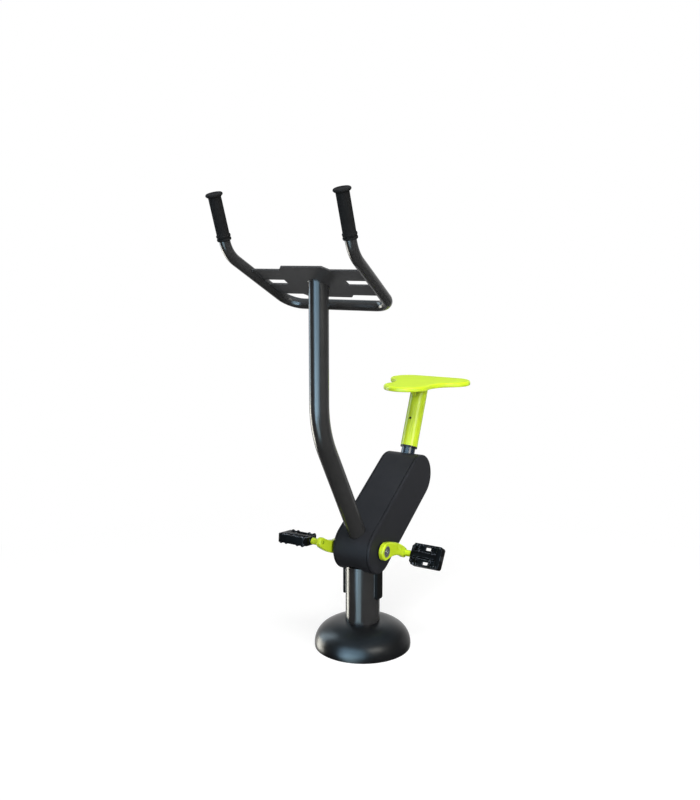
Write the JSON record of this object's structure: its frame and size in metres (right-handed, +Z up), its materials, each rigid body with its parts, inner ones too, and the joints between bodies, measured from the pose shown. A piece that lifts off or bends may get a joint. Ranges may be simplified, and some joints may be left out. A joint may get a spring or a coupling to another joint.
{
  "type": "outdoor exercise bike",
  "caption": "Outdoor exercise bike: post on a bolted flange, slanted drive housing with cranks and pedals, U handlebar with a console plate, saddle on a sliding sleeve.",
  "frame": {"origin": "on the ground at the centre of the base flange and post", "axes": "+Z up, front of the bike towards -Y, the rider's left towards +X"},
  "size_m": [0.476, 1.0429, 1.4718],
  "materials": {
    "frame_black": "semi-gloss anthracite powder coat",
    "cover_black": "satin moulded plastic",
    "inner_steel": "grey primer",
    "bright_steel": "turned and zinc plated",
    "grip_rubber": "matt moulded rubber",
    "lime_paint": "gloss lime powder coat",
    "lime_plastic": "satin lime moulded plastic",
    "black_plastic": "moulded nylon",
    "cast_wheel": "machined casting"
  },
  "bodies": {
    "frame": {"base_cover": "cover_black", "base_flange": "inner_steel", "post": "frame_black", "post_cap": "inner_steel", "bearing_plate_left": "frame_black", "bearing_plate_right": "frame_black", "crank_bearings": "bright_steel", "crank_shell": "inner_steel", "shell_support": "inner_steel", "spine_beam": "inner_steel", "drive_shell": "inner_steel", "drive_bearings": "bright_steel", "seat_mast": "frame_black", "stem": "frame_black", "handlebar": "frame_black", "console_plate": "frame_black", "grip_left": "grip_rubber", "grip_right": "grip_rubber", "housing_band": "frame_black", "cover_left": "frame_black", "cover_right": "frame_black", "cover_bolts": "bright_steel", "drive_belt": "grip_rubber", "brake_plate": "inner_steel", "brake_magnets": "bright_steel"},
    "crank": {"crank_axle": "bright_steel", "crank_arm_left": "lime_paint", "crank_arm_right": "lime_paint", "crank_bolts": "bright_steel", "drive_pulley": "cast_wheel", "pedal_spindle_left": "bright_steel", "pedal_spindle_right": "bright_steel"},
    "pedal_left_body": {"pedal_left": "black_plastic", "pedal_cap_left": "black_plastic"},
    "pedal_right_body": {"pedal_right": "black_plastic", "pedal_cap_right": "black_plastic"},
    "flywheel_body": {"flywheel": "cast_wheel", "flywheel_pulley": "cast_wheel", "flywheel_axle": "bright_steel", "flywheel_nuts": "bright_steel"},
    "seat": {"saddle": "lime_plastic", "saddle_pan": "inner_steel", "saddle_screws": "bright_steel", "seat_sleeve": "lime_paint", "seat_bush": "black_plastic", "seat_gusset": "lime_paint", "lock_screw": "bright_steel"}
  },
  "joints": [
    {"name": "crank_spin", "type": "hinge", "parent": "frame", "child": "crank", "pos_m": [0, 0, 0.335], "axis": [1, 0, 0], "continuous": true},
    {"name": "pedal_left_spin", "type": "hinge", "parent": "crank", "child": "pedal_left_body", "pos_m": [0.1754, 0.12375, 0.29858], "axis": [1, 0, 0], "continuous": true},
    {"name": "pedal_right_spin", "type": "hinge", "parent": "crank", "child": "pedal_right_body", "pos_m": [-0.1754, -0.12375, 0.37142], "axis": [1, 0, 0], "continuous": true},
    {"name": "flywheel_spin", "type": "hinge", "parent": "frame", "child": "flywheel_body", "pos_m": [0, 0.28187, 0.52513], "axis": [1, 0, 0], "continuous": true},
    {"name": "seat_slide", "type": "slide", "parent": "frame", "child": "seat", "axis": [0, 0.3665, 0.9304], "range_m": [0, 0.09]}
  ],
  "couplings": [
    {"joint": "flywheel_spin", "follows": "crank_spin", "ratio": 2.9101}
  ]
}
